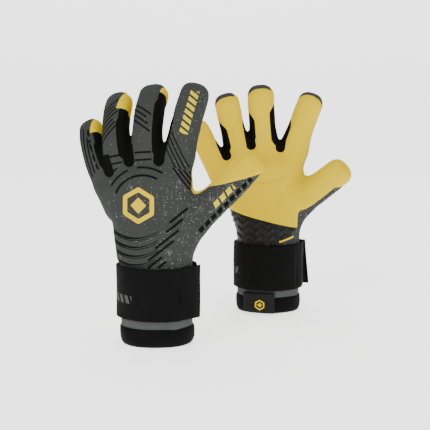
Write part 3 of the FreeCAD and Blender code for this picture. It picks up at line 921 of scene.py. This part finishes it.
def rounded_profile(inside, outside, low, high, steps=14, radius=0.9):
    """A strip's cross-section with rounded edges, points all the way round."""
    r = min(radius, (outside - inside) / 2)

    def corner(z, degrees):
        return [(outside - r + r * math.cos(math.radians(a)), z + r * math.sin(math.radians(a))) for a in degrees]

    out = [(outside, z) for z in np.linspace(low + r, high - r, steps)] + corner(high - r, (30, 60, 90))
    out += [(inside + r, high)] + [(inside, z) for z in np.linspace(high - r, low + r, steps)]
    return out + [(inside + r, low)] + corner(low + r, (270, 300, 330))


def angles_between(start, end, step=3.0):
    count = max(2, int(round(abs(end - start) / step)) + 1)
    return [math.radians(a) for a in np.linspace(start, end, count)]


def cloth_wave(t, z, seed, size):
    return size * (math.sin(3 * t + seed) * math.sin(z / 9.0 + 2 * seed) + 0.6 * math.sin(7 * t + z / 14.0 + seed))


def sew(side, name, material, node, made, body="hand", bend=None):
    """A piece from swept points, faces and places."""
    verts, faces, places = made
    make_piece(f"{side}_{name}", side, verts, faces, body, material, [node], {"band_place": places}, bend=bend)


def build_cuff(side, mats):
    round_once = [math.radians(a) for a in np.arange(0, 360, 3.0)]
    seed = 1.0 if side == "left" else 2.3

    def hem_shape(t, z, k):
        ripple = 0.35 * math.sin(2 * t + seed) + 0.25 * math.sin(5 * t + z / 6.0)
        return ripple - 0.3, 0.0

    hem = [(1.2, 19.2), (0.6, 20.4), (-1.2, 20.6), (-3.4, 19.4), (-4.2, 12), (-5.0, 6), (-5.6, 2.0), (-4.6, 0.35),
           (-3.0, 0.15), (-1.6, 0.9), (-0.2, 2.6), (0.8, 5.2), (1.4, 8.6), (1.6, 12.5), (1.5, 16.5)]
    made = band(hem[::-1], round_once, hem_shape, closed=True)
    sew(side, "cuff_hem_rolled", mats["hem"], "cuff_hem", made)
    sleeve = rounded_profile(-3.2, -0.3, HEM_TOP - 1.5, SLEEVE_TOP, steps=12)
    made = band(sleeve, round_once, lambda t, z, k: (cloth_wave(t, z, seed, 0.25), 0.0), closed=True)
    sew(side, "wrist_sleeve_knit", mats["sleeve"], "wrist_sleeve", made)
    sock = rounded_profile(-5.6, -4.8, 3.0, SLEEVE_TOP + 16, steps=10, radius=0.3)
    sew(side, "hand_lining_sock", mats["lining"], "hand_lining", band(sock, round_once, closed=True))


def build_straps(side, mats):
    base, outer = STRAP_STANDOFF, STRAP_STANDOFF + STRAP_THICK
    seed = 0.7 if side == "left" else 1.9
    strap = rounded_profile(base, outer, STRAP_LOW, STRAP_HIGH, steps=16, radius=1.1)

    def wave(t, z, k):
        return cloth_wave(t, z, seed, 0.3), 0.6 * math.sin(2 * t + seed)

    made = band(strap, angles_between(0.5, 180), wave)
    sew(side, "strap_anchor_sewn", mats["strap"], "strap_anchor", made)
    verts, faces, places = band(strap, angles_between(180, 360 - STRAP_END_ANGLE), wave)
    places[:, 0] -= places[:, 0].max()
    edge = -(WRIST_A + outer)
    bend = ("strap_flap", (edge, 0, STRAP_MIDDLE), (edge, -FLAP_BEND, STRAP_MIDDLE))
    made = verts, faces, places
    sew(side, "strap_flap_swinging", mats["strap_back"], "strap_flap", made, bend=bend)
    build_strap_end(side, mats, seed)


def strap_leave(off):
    """Where the free end leaves the cuff, with the directions along it and outwards."""
    t = -math.radians(STRAP_END_ANGLE)
    xy = wrist_point(t, off)
    along = np.array([-WRIST_A * math.sin(t), WRIST_B * math.cos(t)])
    along = along / np.linalg.norm(along)
    return xy, along, np.array([along[1], -along[0]])


def strap_end_point(side, run, off, z, wave=0.0):
    """A point of the strap's free end: the left one lies close to the cuff, the right one stands off."""
    xy, along, out = strap_leave(STRAP_STANDOFF)
    lift, height = run / STRAP_END_LENGTH, (z - STRAP_MIDDLE) / STRAP_HALF
    hug, flare = (6.0, 1.2) if side == "left" else (0.0, -2.0)
    off = off + 1.8 * lift ** 2 * (1 - height) - hug * lift ** 2 + wave * lift
    p = xy + along * (run + lift * flare * height) + out * off
    return p[0], p[1], z


def build_strap_end(side, mats, seed):
    profile = rounded_profile(0, STRAP_THICK, STRAP_LOW, STRAP_HIGH, steps=16, radius=1.1)
    runs = np.linspace(0.0, STRAP_END_LENGTH, 14)
    wave = {z: 0.25 * math.sin(z / 7.0 + seed) for _, z in profile}
    rows = [[strap_end_point(side, run, off, z, wave[z]) for off, z in profile] for run in runs]
    places = np.array([(run, off, z) for run in runs for off, z in profile])
    xy, along, _ = strap_leave(STRAP_STANDOFF)
    stops = [(*(xy + along * run), STRAP_MIDDLE) for run in (0.0, END_BEND)]
    sew(side, "strap_end_free", mats["strap_back"], "strap_end", (*skin_rows(rows), places),
        "strap_flap", ("strap_end", *stops))
    tape = rounded_profile(-0.8, -0.05, TAPE_LOW, TAPE_HIGH, steps=10, radius=0.3)
    runs = np.linspace(END_BEND + 0.5, STRAP_END_LENGTH - 2, 6)
    rows = [[strap_end_point(side, run, off, z) for off, z in tape] for run in runs]
    verts, faces = skin_rows(rows)
    make_piece(f"{side}_strap_hook_tape", side, verts, faces, "strap_end", mats["hooks"],
               ["strap_hook_patch"])
    loop = rounded_profile(0.1, 0.9, TAPE_LOW, TAPE_HIGH, steps=10, radius=0.3)
    verts, faces, _ = band(loop, angles_between(290, 332))
    make_piece(f"{side}_strap_loop_tape", side, verts, faces, "hand", mats["loops"],
               ["strap_loop_patch"])


def plate_loops(size, hole, bevel, thick, sides):
    """Outline loops of a raised ring or solid plate with straight sides, each with its height."""
    turns = [2 * math.pi * i / sides for i in range(sides)]
    corners = np.array([(math.sin(t), math.cos(t)) for t in turns])
    ends = zip(corners, np.roll(corners, -1, 0))
    points = np.array([a + (b - a) * t for a, b in ends for t in np.linspace(0.06, 0.94, 9)])
    loops = [(size, 0.0), (size, thick - bevel), (size - bevel, thick)]
    loops += [(hole + bevel, thick), (hole, thick - bevel), (hole, 0.0)] if hole else []
    return [(points * r, h) for r, h in loops]


def build_badge_on(side, name, body, material, node, size, x, z, height, flip, bend=None):
    """A hexagonal ring with a diamond in it, laid on the surface that height(x, z) gives."""
    verts, faces = [], []
    for radius, hole, sides in ((0.5 * size, 0.36 * size, 6), (0.22 * size, 0.0, 4)):
        loops = plate_loops(radius, hole, 0.35, 0.9, sides)
        base = len(verts)
        n = len(loops[0][0])
        for points, h in loops:
            for px, pz in points:
                verts.append((x + px, height(x + px, z + pz) + flip * (h - 0.1), z + pz))
        count = len(loops)
        for i in range(count if hole else count - 1):
            j = (i + 1) % count
            for k in range(n):
                q = (k + 1) % n
                faces.append((base + i * n + k, base + i * n + q, base + j * n + q, base + j * n + k))
        if not hole:
            faces.append(tuple(base + (count - 1) * n + k for k in range(n)))
            faces.append(tuple(base + k for k in range(n))[::-1])
    if flip > 0:
        faces = [f[::-1] for f in faces]
    make_piece(name, side, np.array(verts), faces, body, material, [node], sharp=30, bend=bend)


def surface_height(side, sign):
    """The hand's skin in front of or behind (x, z), found by stepping along y."""
    glove = Glove(side)

    def height(x, z):
        ys = np.linspace(0, 40, 81) * sign
        d = glove.distance(np.stack([np.full_like(ys, x), ys, np.full_like(ys, z)], 1))
        k = int(np.argmax(d > 0))
        y0, y1, d0, d1 = ys[k - 1], ys[k], d[k - 1], d[k]
        return y0 + (y1 - y0) * d0 / (d0 - d1) - sign * 0.35
    return height


def build_badge(side, mats):
    build_badge_on(side, f"{side}_back_badge_moulded", "hand", mats["badge"], "back_badge", BADGE_SIZE,
                   BADGE_X, BADGE_Z, surface_height(side, -1), -1)


def build_pull_tab(side, mats):
    off = 1.6
    top = PULL_TAB_Z[1]
    profile = rounded_profile(off, off + PULL_TAB_THICK, PULL_TAB_Z[0], top, steps=12, radius=1.2)
    ends = [math.degrees(math.acos(x / (WRIST_A + off))) for x in PULL_TAB_X]

    def shape(t, z, k):
        low = float(1 - smooth(4, 22, z))
        return 0.9 * low * (0.6 + 0.4 * math.sin(4 * t)), 0.7 * math.sin(3 * t + 1.0) * low

    x = sum(PULL_TAB_X) / 2
    bend = ("pull_tab", (x, WRIST_B + off, top), (x, WRIST_B + off, top - TAB_BEND))
    made = band(profile, angles_between(ends[1], ends[0], 2.0), shape)
    sew(side, "pull_tab_sewn", mats["tab"], "pull_tab", made, bend=bend)

    def height(px, pz):
        t = math.acos(max(-1, min(1, px / (WRIST_A + off))))
        return wrist_point(t, off + PULL_TAB_THICK + shape(t, pz, 0)[0])[1]

    z = sum(PULL_TAB_Z) / 2 - 2
    build_badge_on(side, f"{side}_pull_tab_badge_moulded", "hand", mats["badge"], "pull_tab_badge",
                   TAB_BADGE_SIZE, x, z, height, 1, bend)


def build_piping(side, mats):
    height = surface_height(side, 1)
    rows = []
    for t in np.linspace(0, 1, 12):
        x, z = PIPING_FOOT[0] + PIPING_RUN * t, PIPING_FOOT[1] + PIPING_RISE * t ** 1.1
        y = height(x, z)
        rows.append([(x, y - 0.4, z - 1.1), (x, y + 0.7, z - 0.9), (x, y + 0.9, z), (x, y + 0.7, z + 0.9),
                     (x, y - 0.4, z + 1.1)])
    verts, faces = skin_rows(rows)
    sew(side, "wrist_piping_tape", mats["piping"], "wrist_piping", (verts, faces, verts))


# ---- stage, light and camera ----
def build_stage():
    size, front, back, bend, rise = 4.0, -3.0, 1.6, 0.6, 2.4
    rows = []
    for x in (-size, size):
        row = [(x, front, 0.0), (x, back, 0.0)]
        for a in range(10, 91, 10):
            row.append((x, back + bend * math.sin(math.radians(a)), bend - bend * math.cos(math.radians(a))))
        row.append((x, back + bend, rise))
        rows.append(row)
    n = len(rows[0])
    mesh = bpy.data.meshes.new("backdrop")
    mesh.from_pydata(rows[0] + rows[1], [], [(k, k + 1, n + k + 1, n + k) for k in range(n - 1)])
    mesh.polygons.foreach_set("use_smooth", [True] * len(mesh.polygons))
    floor = bpy.data.objects.new("backdrop", mesh)
    bpy.context.scene.collection.objects.link(floor)
    s = Shader("pale_backdrop", (0.86, 0.86, 0.86), 0.9, specular=0.1)
    coords = s.node("ShaderNodeTexCoord").outputs["Object"]
    s.paint(s.mul(s.noise(coords, 2.0), 0.15), (0.80, 0.80, 0.80))
    s.shader.inputs["Emission Color"].default_value = (1, 1, 1, 1)
    s.shader.inputs["Emission Strength"].default_value = 1.6
    mesh.materials.append(s.finish())


def area_light(name, place, target, size, power):
    data = bpy.data.lights.new(name, "AREA")
    data.size = size
    data.energy = power
    obj = bpy.data.objects.new(name, data)
    obj.location = place
    direction = np.array(target) - np.array(place)
    obj.rotation_euler = Vector(direction).to_track_quat("-Z", "Y").to_euler()
    bpy.context.scene.collection.objects.link(obj)


def build_light_and_camera():
    world = bpy.data.worlds.new("soft_studio")
    bpy.context.scene.world = world
    world.use_nodes = True
    sky = world.node_tree.nodes["Background"]
    sky.inputs["Color"].default_value = (1, 1, 1, 1)
    sky.inputs["Strength"].default_value = 0.55
    area_light("key", (-0.9, -1.3, 1.2), (0, 0, 0.14), 0.9, 22)
    area_light("fill", (1.2, -1.0, 0.7), (0, 0, 0.14), 1.1, 10)
    area_light("top", (0.0, 0.3, 1.6), (0, 0, 0.1), 1.2, 14)
    camera = bpy.data.cameras.new("camera")
    camera.lens = 66.6
    camera.sensor_width = 36.0
    obj = bpy.data.objects.new("camera", camera)
    obj.location = (PLACE["left"][0] / 1000 + 0.062, -0.900, 0.253)
    obj.rotation_euler = (math.radians(90 - 7.9), 0, 0)
    bpy.context.scene.collection.objects.link(obj)
    bpy.context.scene.camera = obj


materials = make_materials()
for side in ("left", "right"):
    build_skin(side, materials)
    build_cuff(side, materials)
    build_straps(side, materials)
    build_badge(side, materials)
    build_pull_tab(side, materials)
    build_piping(side, materials)
build_stage()
build_light_and_camera()
